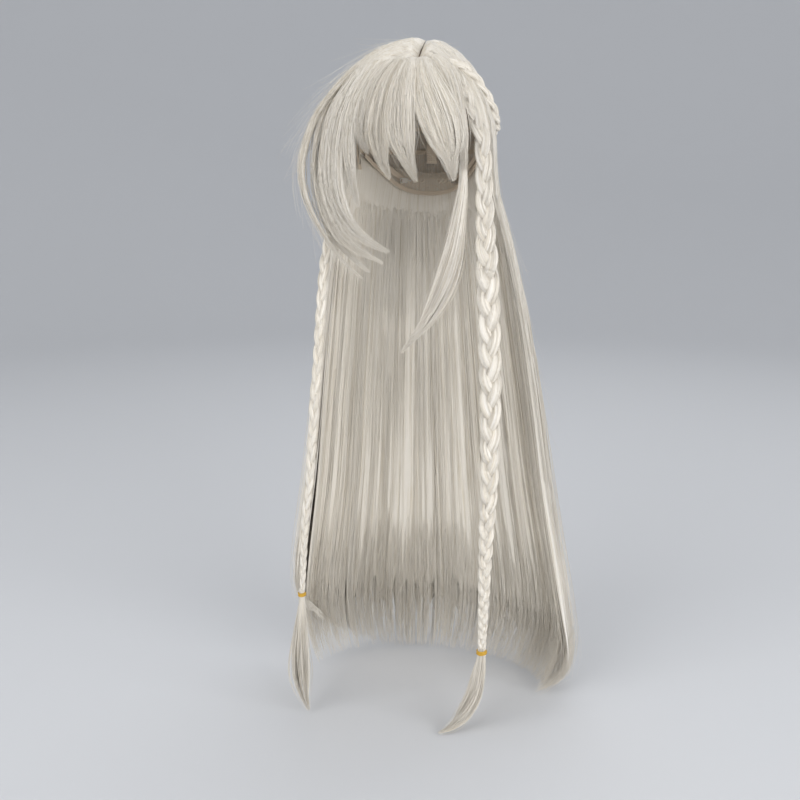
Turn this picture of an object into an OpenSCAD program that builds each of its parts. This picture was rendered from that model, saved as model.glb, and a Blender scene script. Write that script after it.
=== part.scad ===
// Long pale costume wig with two hanging braids: a net cap, its bands and adjusters, and the hair.
// Frame: +Z up, the face looks along -Y, +X is the wearer's left, and the origin is where the
// wearer's head sits, at ear height in the middle of the head.

/* [Head] */
// Width of the head that the cap fits, ear to ear
head_w = 152; // [146:1:158]
// Length of the head that the cap fits, forehead to back
head_l = 192; // [184:1:198]
// Height of the crown above the ears
crown_h = 107; // [102:1:110]

/* [Cap] */
// Thickness of the net
net_t = 0.8; // [0.6:0.1:0.9]
// Width of the elastic band over the forehead
band_w = 12; // [8:1:14]
// Width of the elastic adjuster straps
strap_w = 8; // [6:1:9]
// Height of one sewn row of hair
weft_w = 5; // [4:1:7]

/* [Hair] */
// Depth of the hair that lies on the cap
crown_hair_t = 5.5; // [4:0.5:6]
// Thickness of one panel of the long back hair
fall_t = 9; // [7:0.5:10]
// How far the long hair reaches below the ears
fall_drop = 713; // [700:1:720]

/* [Hair ties] */
// Thickness of the elastic cord of a hair tie
tie_cord = 3.2; // [2.5:0.1:3.6]

/* [Hidden] */

hair_colour = "ivory";
shade_colour = "cornsilk";
net_colour = "antiquewhite";
band_colour = "wheat";
skin_colour = "bisque";
metal_colour = "silver";
tie_colour = "orange";

// Half sizes of the head: across, along, up, and down to the curve of the nape
half_w = head_w / 2;
half_l = head_l / 2;
nape_h = 120;
mean_curve = 90;
// Layers on the cap, as distances out from the head
lining_in = -2.1;
lining_out = -1.1;
over_net = net_t + 0.7;
weft_out = over_net + 1;
hair_in = 3.5;
hair_out = hair_in + crown_hair_t;
// Half width of the parting's gap and half the gap between two pieces of hair, in degrees
seam = 0.4;

// Lowest edge of the net, as [degrees round from the face, degrees up from the ears]
cap_rim = [[0, 41], [30, 38], [55, 26], [72, 8], [88, -6], [104, -6], [120, -14],
           [150, -27], [180, -30]];
// Lowest edge of the hair on the cap
hair_rim = [[0, 44], [25, 42], [50, 31], [70, 12], [88, -6], [110, -11], [180, -11]];

// Back hair: [height, half width, half depth, middle across, middle along]
fall_rows = [
    [-28, 88, 105, 0, 0], [-60, 98, 104, 1, 2], [-100, 108, 102, 3, 6],
    [-190, 127, 101, 6, 12], [-320, 146, 104, 9, 18], [-440, 161, 108, 12, 22],
    [-580, 184, 116, 15, 26], [-650, 193, 120, 17, 26], [-695, 186, 113, 16, 24],
    [-fall_drop, 168, 98, 15, 20]
];
under_rows = [
    [-76, 86, 80, 2, 4], [-120, 96, 81, 4, 8], [-190, 108, 82, 6, 12],
    [-320, 126, 85, 9, 18], [-440, 141, 89, 12, 22], [-580, 162, 96, 15, 26],
    [-640, 166, 97, 16, 25], [-690, 150, 84, 15, 22]
];

// Locks: [x, y, z, width, thickness, way it faces round the head, way it faces up]
bang_right_outer_rows = [
    [-11, -79, 90, 9, 5, -10, 46], [-31, -100, 62, 15, 6, -20, 15],
    [-42, -105, 24, 18, 6, -25, 5], [-42, -103, 2, 15, 5, -25, 0], [-38, -100, -13, 4, 3, -20, 0]];
bang_right_inner_rows = [
    [-1, -80, 91, 8, 5, -4, 46], [-14, -104, 62, 14, 6, -8, 15],
    [-21, -110, 22, 19, 6, -10, 3], [-20, -108, -16, 13, 5, -8, 0], [-12, -103, -40, 4, 3, -5, 0]];
bang_centre_rows = [
    [9, -80, 91, 8, 5, 4, 46], [4, -106, 62, 15, 6, 0, 15],
    [2, -112, 22, 20, 6, 2, 3], [8, -109, -14, 15, 5, 5, 0], [18, -102, -43, 4, 3, 8, 0]];
bang_left_rows = [
    [20, -77, 90, 9, 5, 12, 46], [29, -98, 64, 20, 6, 20, 18],
    [44, -99, 28, 26, 6, 28, 5], [52, -92, -6, 23, 6, 35, 0], [57, -83, -42, 5, 3, 40, 0]];
temple_rows = [
    [33, -67, 94, 13, 5, 30, 50], [50, -77, 72, 16, 6, 38, 30],
    [60, -80, 40, 14, 6, 45, 10], [66, -74, 6, 12, 6, 52, 0], [65, -60, -35, 11, 5, 52, 0]];
side_right_1_rows = [
    [-22, -71, 92, 12, 5, -18, 50], [-40, -75, 76, 13, 5, -32, 32],
    [-58, -82, 42, 13, 6, -45, 12], [-65, -85, 4, 15, 6, -50, 0],
    [-62, -81, -36, 12, 5, -45, 0], [-55, -75, -66, 4, 3, -40, 0]];
side_right_2_rows = [
    [-14, -56, 106, 13, 5, -20, 62], [-46, -58, 88, 19, 6, -45, 38],
    [-75, -66, 42, 20, 8, -55, 12], [-88, -71, -10, 19, 8, -58, 0],
    [-84, -73, -60, 18, 8, -50, 0], [-62, -71, -100, 13, 7, -40, 0], [-20, -70, -124, 4, 3, -30, 0]];
side_right_3_rows = [
    [-12, -36, 114, 14, 5, -30, 70], [-54, -35, 92, 18, 6, -65, 45],
    [-92, -42, 44, 19, 8, -70, 12], [-104, -52, -10, 18, 8, -68, 0],
    [-100, -58, -60, 16, 8, -60, 0], [-75, -65, -110, 12, 7, -45, 0], [-28, -68, -137, 4, 3, -30, 0]];
side_right_4_rows = [
    [-10, -14, 119.5, 13, 5, -60, 76], [-60, -11, 95, 18, 6, -85, 45],
    [-100, -18, 44, 17, 8, -82, 12], [-114, -32, -12, 14, 8, -76, 0],
    [-112, -39, -60, 12, 7, -68, 0], [-90, -52, -112, 10, 6, -55, 0], [-46, -61, -148, 4, 3, -40, 0]];
outer_strand_rows = [
    [-101, -38, 56, 7, 5, -72, 18], [-113, -48, 34, 8, 5, -70, 8],
    [-124, -54, 8, 9, 6, -68, 0], [-130, -57, -26, 9, 6, -66, 0],
    [-124, -57, -64, 8, 5, -62, 0], [-105, -58, -102, 7, 5, -55, 0],
    [-80, -60, -136, 5, 4, -45, 0], [-54, -64, -156, 3, 3, -40, 0]];
face_lock_rows = [
    [64, -57, -43, 11, 7, 50, 0], [61, -55, -70, 16, 9, 45, 0],
    [57, -55, -100, 21, 10, 40, 0], [51, -57, -135, 27, 10, 35, 0],
    [40, -61, -170, 25, 9, 30, 0], [22, -67, -206, 15, 6, 25, 0], [-6, -73, -242, 4, 3, 20, 0]];
tail_left_rows = [
    [100, -90, -616, 8, 7, 10, 0], [97, -91, -640, 15, 11, 10, 0],
    [91, -95, -670, 18, 13, 10, 20], [79, -103, -694, 17, 11, 5, 45],
    [65, -113, -706, 11, 7, 0, 70], [52, -122, -711, 4, 3, 0, 80]];
tail_right_rows = [
    [-130, -92, -559, 6, 5, 0, 0], [-132, -94, -600, 15, 11, 0, 0],
    [-133, -96, -650, 23, 15, 0, 0], [-129, -99, -688, 17, 10, 0, 10], [-121, -103, -711, 5, 3, 0, 15]];

// Braids: [x, y, z, width]
crown_braid_rows = [
    [47, -51, 90, 9], [58, -43, 84, 12], [70, -29, 74, 13], [80, -20, 59, 13], [88, -9, 45, 13],
    [91, 6, 32, 13], [88, 32, 23, 13], [78, 62, 17, 13], [54, 93, 13, 12], [22, 110, 10, 12],
    [-8, 114, 8, 8]];
braid_left_top_rows = [[73, -67, 38, 10], [79, -62, 24, 15], [85, -60, 6, 18], [88, -58, -36, 20]];
braid_left_upper_rows = [
    [88, -57, -42, 20], [90, -55, -90, 22], [93, -55, -135, 26], [98, -58, -225, 27],
    [101, -63, -296, 26]];
braid_left_lower_rows = [
    [101, -64, -306, 26], [103, -74, -393, 22], [102, -82, -450, 19], [101, -87, -520, 15],
    [100, -90, -605, 10]];
braid_right_top_rows = [[-100, -26, -84, 9], [-105, -31, -110, 11], [-108, -40, -136, 12]];
braid_right_upper_rows = [
    [-108, -42, -141, 12], [-108, -57, -182, 12], [-110, -73, -262, 12], [-112, -79, -296, 12]];
braid_right_lower_rows = [
    [-112, -80, -304, 12], [-118, -87, -400, 11], [-124, -91, -455, 10], [-130, -92, -549, 7]];

tie_left_at = [100, -90, -610.5];
tie_left_r = 4.6;
tie_right_at = [-130, -92, -554];
tie_right_r = 3.4;

// Adjusters: the hooks ride on an arc that follows the nape
nape_arc_r = 56.4;
nape_arc_y = 33.5;
nape_arc_z = -42;
hook_rest = 40;
hook_size = [11, 1.2, 7];
hook_gap = 4.4;
loop_gap = 2.6;
loop_angles = [12, 19, 26];
loop_ring_r = 2.6;
loop_cord = 1;

function unit(v) = v / norm(v);
function curve(a, b, c, d, t) = 0.5 * ((2 * b) + (c - a) * t + (2 * a - 5 * b + 4 * c - d) * t * t
    + (3 * b - a - 3 * c + d) * t * t * t);
// A smooth run of rows through the given rows
function smooth(rows, n) = let (last = len(rows) - 1) [
    for (i = [0:last - 1], k = [0:n - 1])
        curve(rows[max(i - 1, 0)], rows[i], rows[i + 1], rows[min(i + 2, last)], k / n),
    rows[last]];
function place(row) = [row[0], row[1], row[2]];
function facing(round, up) = [cos(up) * sin(round), -cos(up) * cos(round), sin(up)];

// A point on the head, so many degrees round from the face and up from the ears, and so far out
function on_head(round, up, out) = [
    (half_w + out) * cos(up) * sin(round),
    -(half_l + out) * cos(up) * cos(round),
    ((up < 0 ? nape_h : crown_h) + out) * sin(up)];

// A closed solid through rings that all have the same even number of points
module skin(rings) {
    n = len(rings[0]);
    last = len(rings) - 1;
    half = n / 2;
    points = [for (ring = rings) each ring];
    sides = [for (i = [0:last - 1], j = [0:n - 1]) let (k = (j + 1) % n)
        each [[i * n + j, i * n + k, (i + 1) * n + k], [i * n + j, (i + 1) * n + k, (i + 1) * n + j]]];
    first_cap = [for (j = [0:half - 2])
        each [[j, n - 1 - j, j + 1], [j + 1, n - 1 - j, n - 2 - j]]];
    last_cap = [for (f = first_cap) [last * n + f[0], last * n + f[2], last * n + f[1]]];
    polyhedron(points, concat(sides, first_cap, last_cap), convexity = 6);
}

// A piece of shell on the head between two angles, from the rim up to a height
module head_patch(from, to, rim, top, inner, outer, columns, rows) {
    rings = [for (i = [0:columns]) let (
        round = from + (to - from) * i / columns,
        low = lookup(abs(round > 180 ? 360 - round : round), rim))
        concat(
            [for (j = [0:rows]) on_head(round, low + (top - low) * j / rows, outer)],
            [for (j = [rows:-1:0]) on_head(round, low + (top - low) * j / rows, inner)])];
    skin(rings);
}

// A ribbon on the head along [round, up] stops, as wide as given
module head_strip(stops, width, inner, outer, n = 4) {
    way = smooth(stops, n);
    last = len(way) - 1;
    rings = [for (i = [0:last]) let (
        s = way[i],
        ahead = way[min(i + 1, last)],
        behind = way[max(i - 1, 0)],
        along = unit(on_head(ahead[0], ahead[1], 0) - on_head(behind[0], behind[1], 0)),
        out = unit(on_head(s[0], s[1], 40) - on_head(s[0], s[1], 0)),
        across = unit(cross(out, along)) * width / 2,
        droop = out * width * width / (8 * mean_curve),
        low = on_head(s[0], s[1], inner),
        high = on_head(s[0], s[1], outer))
        [high - across - droop, high, high + across - droop,
            low + across - droop, low, low - across - droop]];
    skin(rings);
}

// A flat lock of hair
module lock(rows, n = 2) {
    way = smooth(rows, n);
    last = len(way) - 1;
    spread = [-1, -0.62, 0, 0.62, 1];
    swell = [0.25, 0.85, 1, 0.85, 0.25];
    rings = [for (i = [0:last]) let (
        s = way[i],
        along = unit(place(way[min(i + 1, last)]) - place(way[max(i - 1, 0)])),
        across = unit(cross(facing(s[5], s[6]), along)),
        out = cross(along, across),
        half_width = across * s[3] / 2,
        half_thick = out * s[4] / 2)
        concat(
            [for (j = [0:4]) place(s) + half_width * spread[j] + half_thick * swell[j]],
            [for (j = [4:-1:0]) place(s) + half_width * spread[j] - half_thick * swell[j]])];
    skin(rings);
}

// A braid as a rounded rope
module braid(rows, n = 3, sides = 8) {
    way = smooth(rows, n);
    last = len(way) - 1;
    rings = [for (i = [0:last]) let (
        s = way[i],
        along = unit(place(way[min(i + 1, last)]) - place(way[max(i - 1, 0)])),
        across = unit(cross(along, [0, -1, 0.2])),
        out = cross(across, along))
        [for (j = [0:sides - 1]) let (a = (j + 0.5) * 360 / sides)
            place(s) + s[3] / 2 * (across * cos(a) + out * 0.8 * sin(a))]];
    skin(rings);
}

// A panel of long hair between two angles round the back, where 0 is straight behind
module fall_panel(rows, from, to, thick, columns = 4, n = 2) {
    way = smooth(rows, n);
    rings = [for (s = way) let (
        spots = [for (j = [0:columns]) to + (from - to) * j / columns])
        concat(
            [for (a = spots) [s[3] + s[1] * sin(a), s[4] + s[2] * cos(a), s[0]]],
            [for (j = [columns:-1:0]) let (
                a = spots[j],
                deep = thick * (j == 0 || j == columns ? 0.4 : 1))
                [s[3] + (s[1] - deep) * sin(a), s[4] + (s[2] - deep) * cos(a), s[0]]])];
    skin(rings);
}

module mirrored(side) {
    if (side > 0) children();
    else mirror([1, 0, 0]) children();
}

module ear_tab(side) {
    color(band_colour) mirrored(side)
        head_strip([[88, 14], [88, 0], [88, -14]], 18, lining_in, lining_out);
}

// Bendable metal stay sewn inside the ear tab
module ear_stay(side) {
    color(metal_colour) mirrored(side)
        head_strip([[88, 11], [88, 0], [88, -11]], 4, lining_in - 1.2, lining_in - 0.5);
}

module weft_row(up) {
    color(shade_colour)
        head_strip([for (a = [100:16:260]) [a, up]], weft_w, over_net, weft_out, n = 2);
}

module strap(side) {
    color(band_colour) mirrored(side)
        head_strip([[106, 3], [124, -7.5], [140, -15.5], [152, -20.5]], strap_w,
            lining_in, lining_out, n = 3);
}

// Flat metal hook: a plate with a slot for the strap and a bent tongue
module hook(side) {
    slot = [1.8, 4, hook_size[2] - 2.6];
    tongue = [5, 1, 2.4];
    color(metal_colour) mirrored(side)
        translate([0, nape_arc_y, nape_arc_z]) rotate([0, 0, -hook_rest])
        translate([0, nape_arc_r - hook_gap - hook_size[1], 0]) {
            difference() {
                translate([0, hook_size[1] / 2, 0]) cube(hook_size, center = true);
                translate([3.6, hook_size[1] / 2, 0]) cube(slot, center = true);
            }
            translate([-hook_size[0] / 2 - tongue[0] / 2 + 0.5, 0.5, 0]) cube(tongue, center = true);
            translate([-hook_size[0] / 2 - tongue[0] + 0.5, 0.6, 0])
                cylinder(h = tongue[2], d = 1.6, center = true, $fn = 24);
        }
}

// Small cord loops sewn inside the nape, which the hooks catch
module hook_loops() {
    color(band_colour)
        for (side = [-1, 1], a = loop_angles)
            rotate_about_nape(side * a)
                translate([0, nape_arc_r - loop_gap, 0]) rotate([90, 0, 0])
                    rotate_extrude($fn = 32) translate([loop_ring_r, 0]) circle(d = loop_cord, $fn = 16);
}

module rotate_about_nape(a) {
    translate([0, nape_arc_y, nape_arc_z]) rotate([0, 0, -a]) children();
}

// Small elastic ring round a braid's end, lying across it
module hair_tie(at, r) {
    color(tie_colour) translate(at)
        rotate_extrude($fn = 40) translate([r + tie_cord / 2, 0]) circle(d = tie_cord, $fn = 20);
}

module crown(from, to) {
    color(hair_colour)
        head_patch(from + seam, to - seam, hair_rim, 87, hair_in, hair_out, 10, 10);
}

module net(from, to) {
    color(net_colour)
        head_patch(from + seam, to - seam, cap_rim, 87, 0, net_t, round((to - from) / 7.5), 11);
}

module fall(from, to) {
    color(hair_colour) fall_panel(fall_rows, from + seam, to - seam, fall_t);
}

module under(from, to) {
    color(shade_colour) fall_panel(under_rows, from + seam, to - seam, fall_t - 2);
}

module lock_piece(rows) {
    color(hair_colour) lock(rows);
}

module braid_piece(rows) {
    color(hair_colour) braid(rows);
}

module cap_net_left() { net(2, 90); }
module cap_net_right() { net(-90, 2); }
module cap_net_back() { net(90, 270); }
module parting_patch() {
    color(skin_colour) head_strip([[6, 46], [7, 60], [12, 76]], 20, over_net, over_net + 0.8);
}
module front_band() {
    color(band_colour)
        head_strip([[-76, 13], [-50, 35], [-25, 45], [0, 47], [25, 45], [50, 35], [76, 13]], band_w,
            lining_in, lining_out, n = 3);
}
module nape_band() {
    color(band_colour)
        head_strip([[104, -5], [122, -13], [150, -26], [180, -29.5], [210, -26], [238, -13], [256, -5]],
            6, lining_in, lining_out, n = 4);
}
module centre_tape() {
    color(band_colour) head_strip([[180, -10], [180, 15], [180, 45], [180, 75]], 14,
        lining_in, lining_out);
}
module ear_tab_left() { ear_tab(1); }
module ear_tab_right() { ear_tab(-1); }
module ear_stay_left() { ear_stay(1); }
module ear_stay_right() { ear_stay(-1); }
module weft_row_1() { weft_row(-3); }
module weft_row_2() { weft_row(12); }
module weft_row_3() { weft_row(28); }
module weft_row_4() { weft_row(44); }
module strap_left() { strap(1); }
module strap_right() { strap(-1); }
module hook_left() { hook(1); }
module hook_right() { hook(-1); }
module crown_left_front() { crown(5, 90); }
module crown_left_back() { crown(90, 180); }
module crown_right_front() { crown(-90, 5); }
module crown_right_back() { crown(180, 270); }
module crown_braid() { braid_piece(crown_braid_rows); }
module bang_right_outer() { lock_piece(bang_right_outer_rows); }
module bang_right_inner() { lock_piece(bang_right_inner_rows); }
module bang_centre() { lock_piece(bang_centre_rows); }
module bang_left() { lock_piece(bang_left_rows); }
module temple_hair_left() { lock_piece(temple_rows); }
module side_lock_right_1() { lock_piece(side_right_1_rows); }
module side_lock_right_2() { lock_piece(side_right_2_rows); }
module side_lock_right_3() { lock_piece(side_right_3_rows); }
module side_lock_right_4() { lock_piece(side_right_4_rows); }
module outer_strand_right() { lock_piece(outer_strand_rows); }
module face_lock() { lock_piece(face_lock_rows); }
module braid_left_top() { braid_piece(braid_left_top_rows); }
module braid_left_upper() { braid_piece(braid_left_upper_rows); }
module braid_left_lower() { braid_piece(braid_left_lower_rows); }
module hair_tie_left() { hair_tie(tie_left_at, tie_left_r); }
module tail_left() { lock_piece(tail_left_rows); }
module braid_right_top() { braid_piece(braid_right_top_rows); }
module braid_right_upper() { braid_piece(braid_right_upper_rows); }
module braid_right_lower() { braid_piece(braid_right_lower_rows); }
module hair_tie_right() { hair_tie(tie_right_at, tie_right_r); }
module tail_right() { lock_piece(tail_right_rows); }
module fall_right_1() { fall(-100, -75); }
module fall_right_2() { fall(-75, -50); }
module fall_centre_1() { fall(-50, -17); }
module fall_centre_2() { fall(-17, 17); }
module fall_centre_3() { fall(17, 50); }
module fall_left_1() { fall(50, 75); }
module fall_left_2() { fall(75, 100); }
module under_right() { under(-94, -52); }
module under_centre_1() { under(-48, 0); }
module under_centre_2() { under(0, 48); }
module under_left() { under(52, 94); }

cap_net_left();
cap_net_right();
cap_net_back();
parting_patch();
front_band();
nape_band();
centre_tape();
ear_tab_left();
ear_tab_right();
ear_stay_left();
ear_stay_right();
weft_row_1();
weft_row_2();
weft_row_3();
weft_row_4();
strap_left();
strap_right();
hook_left();
hook_right();
hook_loops();
crown_left_front();
crown_left_back();
crown_right_front();
crown_right_back();
crown_braid();
bang_right_outer();
bang_right_inner();
bang_centre();
bang_left();
temple_hair_left();
side_lock_right_1();
side_lock_right_2();
side_lock_right_3();
side_lock_right_4();
outer_strand_right();
face_lock();
braid_left_top();
braid_left_upper();
braid_left_lower();
hair_tie_left();
tail_left();
braid_right_top();
braid_right_upper();
braid_right_lower();
hair_tie_right();
tail_right();
fall_right_1();
fall_right_2();
fall_centre_1();
fall_centre_2();
fall_centre_3();
fall_left_1();
fall_left_2();
under_right();
under_centre_1();
under_centre_2();
under_left();
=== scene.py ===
# %% [markdown]
# # A very long pale costume wig
# The wig is a stretch net cap with rows of sewn hair on it. The hair is parted in the middle, falls
# straight to the floor behind, and hangs in two tied braids in front. This lesson dresses the fixed
# CAD frame with real looking hair. Lengths of the hair are planned in millimetres, as a wig maker
# would, and every mesh is written in metres.
# %% Load the fixed frame
import bmesh
import bpy
import math
import numpy as np
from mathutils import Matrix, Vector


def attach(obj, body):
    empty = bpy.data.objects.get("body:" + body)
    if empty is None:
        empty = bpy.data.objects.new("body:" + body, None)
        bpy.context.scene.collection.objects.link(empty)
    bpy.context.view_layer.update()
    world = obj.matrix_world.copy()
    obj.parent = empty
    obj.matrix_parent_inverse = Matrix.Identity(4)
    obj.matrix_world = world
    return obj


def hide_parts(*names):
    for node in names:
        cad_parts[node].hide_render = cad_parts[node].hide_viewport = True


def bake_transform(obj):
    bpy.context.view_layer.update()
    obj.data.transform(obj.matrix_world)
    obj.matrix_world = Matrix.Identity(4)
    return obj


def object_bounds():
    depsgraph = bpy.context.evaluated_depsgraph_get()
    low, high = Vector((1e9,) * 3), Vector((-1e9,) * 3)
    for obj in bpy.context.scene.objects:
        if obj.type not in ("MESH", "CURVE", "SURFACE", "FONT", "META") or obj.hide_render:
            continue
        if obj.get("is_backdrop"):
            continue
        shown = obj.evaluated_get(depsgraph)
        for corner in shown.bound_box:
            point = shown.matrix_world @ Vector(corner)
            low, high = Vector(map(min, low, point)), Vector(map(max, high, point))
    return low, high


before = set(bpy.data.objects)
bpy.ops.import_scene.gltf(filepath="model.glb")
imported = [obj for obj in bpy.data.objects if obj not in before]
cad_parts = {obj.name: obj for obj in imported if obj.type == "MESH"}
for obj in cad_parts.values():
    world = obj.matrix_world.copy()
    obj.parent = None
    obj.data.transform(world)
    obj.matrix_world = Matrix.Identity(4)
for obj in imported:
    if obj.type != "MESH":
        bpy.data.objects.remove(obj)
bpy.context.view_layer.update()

# %% [markdown]
# ## Camera
# The camera comes first, because every later choice is judged through it. It stands a little to the
# wearer's left and looks down on the wig, from the distance of a person at a shop counter.
# %% Place the camera
VIEW_ROUND = math.radians(12.0)
VIEW_DOWN = math.radians(12.9)
HEAD_OFF_AXIS = (22.0, 5.0)
CAMERA_BACK = 1211.0
CAMERA_UP = -37.0
LENS_MM = 43.9
MM = 0.001


def turned(x, y, angle):
    """A point turned about the upright axis."""
    return (x * math.cos(angle) - y * math.sin(angle), x * math.sin(angle) + y * math.cos(angle))


camera_x, camera_y = turned(-HEAD_OFF_AXIS[0], -CAMERA_BACK - HEAD_OFF_AXIS[1], VIEW_ROUND)
camera_data = bpy.data.cameras.new("camera")
camera_data.lens = LENS_MM
camera_data.clip_end = 50.0
camera = bpy.data.objects.new("camera", camera_data)
camera.location = (camera_x * MM, camera_y * MM, CAMERA_UP * MM)
camera.rotation_euler = (math.pi / 2 - VIEW_DOWN, 0.0, VIEW_ROUND)
bpy.context.scene.collection.objects.link(camera)
bpy.context.scene.camera = camera
print("camera at", tuple(round(c, 3) for c in camera.location))

# %% [markdown]
# ## The shape of the head
# Everything on the cap follows one oval head. A point is named by how many degrees it is round from
# the face, how many degrees it is up from the ears, and how far it stands out from the head.
# %% Points on the head
HALF_W, HALF_L, CROWN_H, NAPE_H = 76.0, 96.0, 107.0, 120.0
HAIR_OUT = 9.0
FLOOR_Z = -713.0


def on_head(around, up, out):
    """Points on the head, in millimetres, for arrays of angles in degrees."""
    around, up, out = np.broadcast_arrays(np.radians(around), np.radians(up), out)
    tall = np.where(up < 0, NAPE_H, CROWN_H)
    return np.stack([
        (HALF_W + out) * np.cos(up) * np.sin(around),
        -(HALF_L + out) * np.cos(up) * np.cos(around),
        (tall + out) * np.sin(up),
    ], axis=-1)


def unit(vectors):
    """Vectors with their length made one."""
    return vectors / np.maximum(np.linalg.norm(vectors, axis=-1, keepdims=True), 1e-9)


def ease(t):
    """Runs from 0 to 1 with a soft start and a soft end."""
    t = np.clip(t, 0.0, 1.0)
    return t * t * (3.0 - 2.0 * t)


print("crown of the head:", on_head(0.0, 90.0, 0.0))

# %% [markdown]
# ## Flows
# Hair is easiest to think of as a flow: a soft tube of space that the fibres run along. A flow turns
# three numbers into a place. The first runs across the lock from -1 to 1, the second through its
# thickness from -1 to 1, and the third along it from the root at 0 to the tip at 1. Both the solid
# body of a lock and its loose fibres can then be made from the same flow, so they always agree.
# %% Smooth paths and the flow of one lock
PATH_STEPS, LOCK_STEPS = 16, 140


def smooth_path(rows, samples):
    """A smooth run through the given rows, spaced evenly along its length, and that length."""
    rows = np.array(rows, float)
    padded = np.vstack([rows[:1], rows, rows[-1:]])
    t = np.linspace(0.0, 1.0, PATH_STEPS, endpoint=False)[:, None]
    runs = []
    for a, b, c, d in zip(padded, padded[1:], padded[2:], padded[3:]):
        bend = (2 * a - 5 * b + 4 * c - d) * t * t + (3 * b - a - 3 * c + d) * t ** 3
        runs.append(0.5 * (2 * b + (c - a) * t + bend))
    fine = np.vstack(runs + [rows[-1:]])
    return evenly(fine, samples)


def evenly(fine, samples):
    """The same path with its points spaced evenly along its first three columns, and its length."""
    steps = np.linalg.norm(np.diff(fine[:, :3], axis=0), axis=1)
    far = np.concatenate([[0.0], np.cumsum(steps)])
    spots = np.linspace(0.0, far[-1], samples)
    columns = [np.interp(spots, far, fine[:, k]) for k in range(fine.shape[1])]
    return np.column_stack(columns), far[-1]


def read_along(table, v):
    """Rows of a table read at v from 0 to 1, blending neighbours."""
    place = np.clip(v, 0.0, 1.0) * (len(table) - 1)
    low = np.minimum(place.astype(int), len(table) - 2)
    part = (place - low)[..., None]
    return table[low] * (1.0 - part) + table[low + 1] * part


def facing(around, up):
    """The direction that the flat side of a lock looks in."""
    around, up = np.radians(around), np.radians(up)
    return np.stack([np.cos(up) * np.sin(around), -np.cos(up) * np.cos(around), np.sin(up)], -1)


def path_flow(middle, wide, deep, length, girth, first=0.0, last=1.0, droop=None):
    """The flow round a path, from its middle, half width and half thickness. droop bows it across."""
    def flow(u, w, v):
        """The place at u across, w through and v along."""
        u, w, v = np.broadcast_arrays(u, w, v)
        s = first + (last - first) * v
        spot = (read_along(middle, s) + read_along(wide, s) * u[..., None]
                + read_along(deep, s) * w[..., None])
        if droop is not None:
            spot = spot - read_along(droop, s) * u[..., None] ** 2
        return spot

    flow.length = length
    flow.girth = girth
    return flow


def lock_flow(rows, wider=(1.0, 1.0)):
    """The flow of one lock. wider scales its width at the root and at the tip."""
    path, length = smooth_path(rows, LOCK_STEPS)
    along = unit(np.gradient(path[:, :3], axis=0))
    across = unit(np.cross(facing(path[:, 5], path[:, 6]), along))
    out = np.cross(along, across)
    grow = np.linspace(wider[0], wider[1], len(path))[:, None]
    girth = 2.2 * float(path[:, 3].max()) * max(wider)
    return path_flow(path[:, :3], across * path[:, 3:4] * grow / 2, out * path[:, 4:5] / 2,
                     length, girth)


# %% [markdown]
# ## Wide sheets of hair
# The hair over the crown and the long back hair are wide sheets. A sheet's flow is read from a grid
# of guide fibres that run from the parting, over the head and down. The way out from the sheet is
# found from the guides themselves.
# %% The flow of a wide sheet
def sheet_flow(guides, thick):
    """The flow of a sheet, from guides[across, along, xyz] of its outer face and its thickness."""
    count, steps = guides.shape[:2]
    side = np.gradient(guides, axis=0)
    down = np.gradient(guides, axis=1)
    out = unit(np.cross(side, down))
    outward = guides.mean(axis=(0, 1)) * np.array([1.0, 1.0, 0.0])
    if float((out.mean(axis=(0, 1)) * outward).sum()) < 0:
        out = -out
    deep = np.broadcast_to(thick, (steps,))

    def flow(u, w, v):
        u, w, v = np.broadcast_arrays(u, w, v)
        i = (np.clip(u, -1.0, 1.0) + 1.0) / 2.0 * (count - 1)
        j = np.clip(v, 0.0, 1.0) * (steps - 1)
        i0 = np.minimum(i.astype(int), count - 2)
        j0 = np.minimum(j.astype(int), steps - 2)
        a = (i - i0)[..., None]
        b = (j - j0)[..., None]
        spot = 0.0
        away = 0.0
        for di, dj, share in ((0, 0, (1 - a) * (1 - b)), (1, 0, a * (1 - b)),
                              (0, 1, (1 - a) * b), (1, 1, a * b)):
            spot = spot + guides[i0 + di, j0 + dj] * share
            away = away + out[i0 + di, j0 + dj] * share
        depth = deep[j0] * (w - 1.0) / 2.0
        return spot + away * depth[..., None]

    lengths = np.linalg.norm(np.diff(guides, axis=1), axis=2).sum(axis=1)
    widths = np.linalg.norm(np.diff(guides, axis=0), axis=2).sum(axis=0)
    flow.length = float(lengths.mean())
    flow.girth = 2.1 * float(widths.max())
    return flow


# %% [markdown]
# ## From the parting over the head
# The parting lies a centimetre to the wearer's left of the middle and runs back to the crown. Each
# guide starts there close to the cap, lifts quickly to the full depth of the hair, and takes the
# shortest way over the head to its own place on the rim.
# %% Guides over the head
PART_X, WHORL_X = 10.0, 3.0
PART_GAP = 0.7
PART_STOPS = (-60.0, -35.0, -10.0)
PART_DEPTHS = (2.2, 7.0, 12.0)
PART_RISES = (0.15, 0.09, 0.05)
OVER_STEPS = 50


def parting_point(y, side):
    """Where a guide leaves the parting, in millimetres, just to one side of the line."""
    slide = ease((y + 15.0) / 40.0)
    x = PART_X + (WHORL_X - PART_X) * slide + side * PART_GAP
    flat = 1.0 - (x / HALF_W) ** 2 - (y / HALF_L) ** 2
    return np.array([x, y, CROWN_H * math.sqrt(flat)])


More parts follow.
